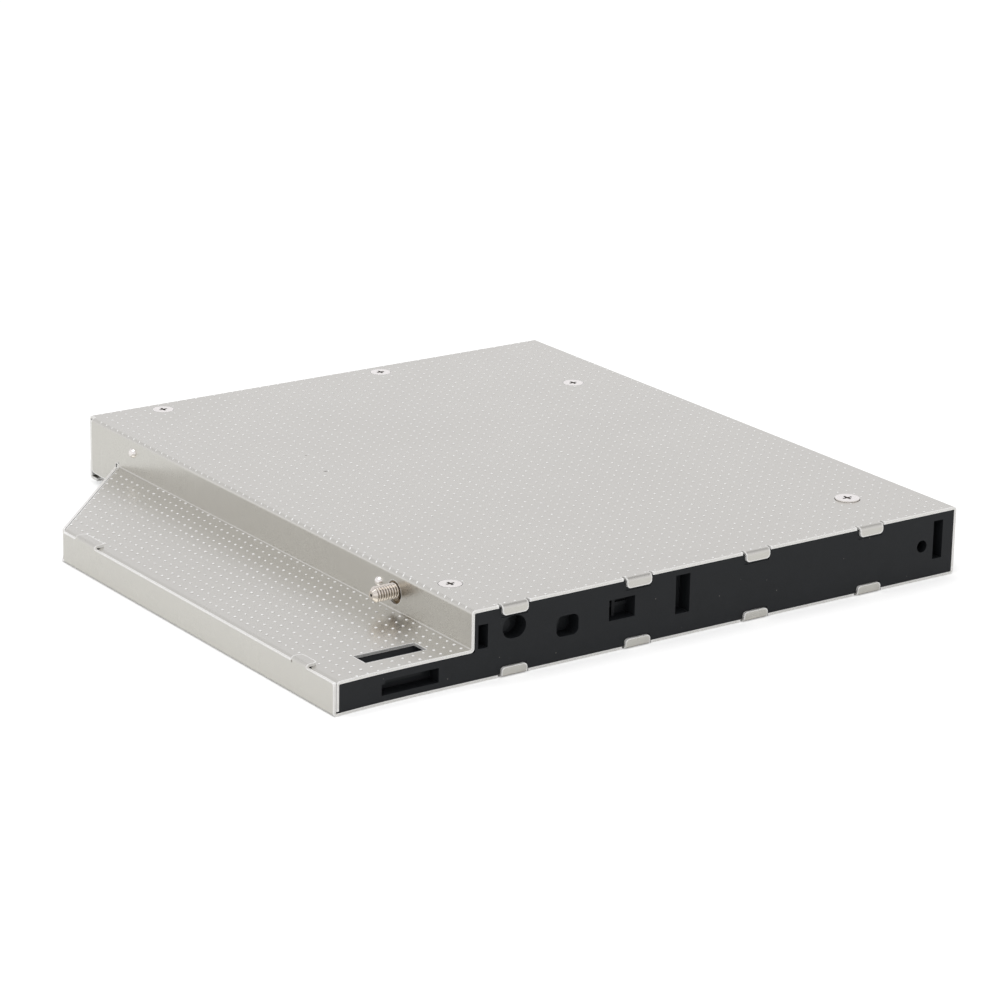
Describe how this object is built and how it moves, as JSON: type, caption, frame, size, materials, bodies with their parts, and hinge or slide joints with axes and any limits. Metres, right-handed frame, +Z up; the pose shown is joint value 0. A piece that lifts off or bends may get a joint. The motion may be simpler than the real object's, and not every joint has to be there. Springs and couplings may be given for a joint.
{
  "type": "laptop drive caddy",
  "caption": "Flat stepped sheet-metal caddy with a black bezel panel that carries a 2.5 inch drive in a laptop's slim optical bay.",
  "frame": {"origin": "point of the flat underside on the case's middle line across the bay, half way between the panel's face and the rear wall's outer face", "axes": "+Z up from the flat underside to the stepped side; +X across the bay from the thin ledge to the drive mouth; -Y out of the black bezel panel; +Y into the bay"},
  "size_m": [0.128, 0.1269, 0.0126],
  "materials": {
    "shell_metal": "fine satin, warm pale silver, covered with tiny raised dots",
    "black_moulding": "fine matt moulded",
    "plate_steel": "plated, dull",
    "bright_screw": "zinc plated, bright",
    "nickel_screw": "nickel plated, glossy",
    "insert_brass": "turned",
    "board_green": "solder mask, satin",
    "film": "satin film",
    "capacitor_tan": "ceramic",
    "resistor_black": "satin",
    "connector_black": "fine satin moulded",
    "contact_gold": "gold plated",
    "solder": "tinned"
  },
  "bodies": {
    "caddy": {"top_shell": "shell_metal", "bottom_shell": "shell_metal", "front_panel": "black_moulding", "front_rail": "black_moulding", "rear_frame": "black_moulding", "nut_plate": "plate_steel", "nut_plate_rivets": "bright_screw", "shell_screws": "bright_screw", "rail_screws": "nickel_screw", "underside_screws": "bright_screw", "boss_inserts": "insert_brass", "circuit_board": "board_green", "insulating_film": "film", "board_standoffs": "plate_steel", "board_screws": "nickel_screw", "board_capacitors": "capacitor_tan", "board_resistors": "resistor_black", "drive_receptacle": "connector_black", "receptacle_contacts": "contact_gold", "solder_tails": "solder", "bay_plug": "connector_black", "plug_contacts": "contact_gold"},
    "release_screw": {"release_screw": "nickel_screw"}
  },
  "joints": [
    {"name": "release_travel", "type": "slide", "parent": "caddy", "child": "release_screw", "axis": [1, 0, 0], "range_m": [0, 0.0044]}
  ]
}
